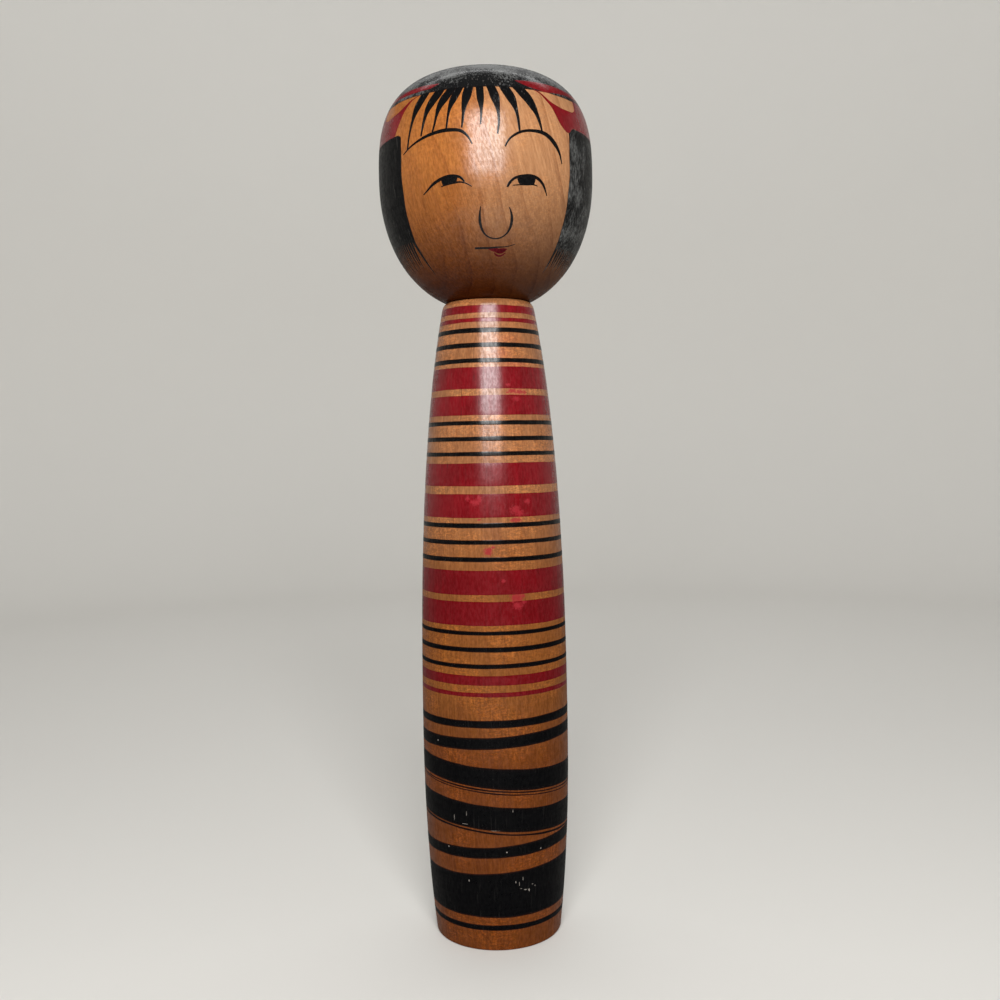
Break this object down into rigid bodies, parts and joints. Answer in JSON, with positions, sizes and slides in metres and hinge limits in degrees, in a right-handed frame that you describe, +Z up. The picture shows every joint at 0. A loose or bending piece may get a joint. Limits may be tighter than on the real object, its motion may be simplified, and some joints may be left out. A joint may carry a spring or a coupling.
{
  "type": "kokeshi doll",
  "caption": "Turned wooden kokeshi doll: a tall tapering body banded in red and black, and a large painted head that turns on a captive tenon in the neck.",
  "frame": {"origin": "centre of the base face that the doll stands on", "axes": "+Z up along the turning axis, -Y out of the face, +X to the right of someone who looks at the face"},
  "size_m": [0.0902, 0.0902, 0.364],
  "materials": {
    "body_wood": "waxed wood with lathe-painted red and black bands",
    "head_wood": "waxed wood, painted hair and face, satin gloss",
    "ink": "black ink brushed on wood, waxed over",
    "red_dye": "crimson dye brushed on wood, waxed over"
  },
  "bodies": {
    "body": {"body": "body_wood"},
    "head": {"head": "head_wood"}
  },
  "joints": [
    {"name": "head_turn", "type": "hinge", "parent": "body", "child": "head", "pos_m": [0, 0, 0.2695], "axis": [0, 0, 1], "continuous": true}
  ]
}
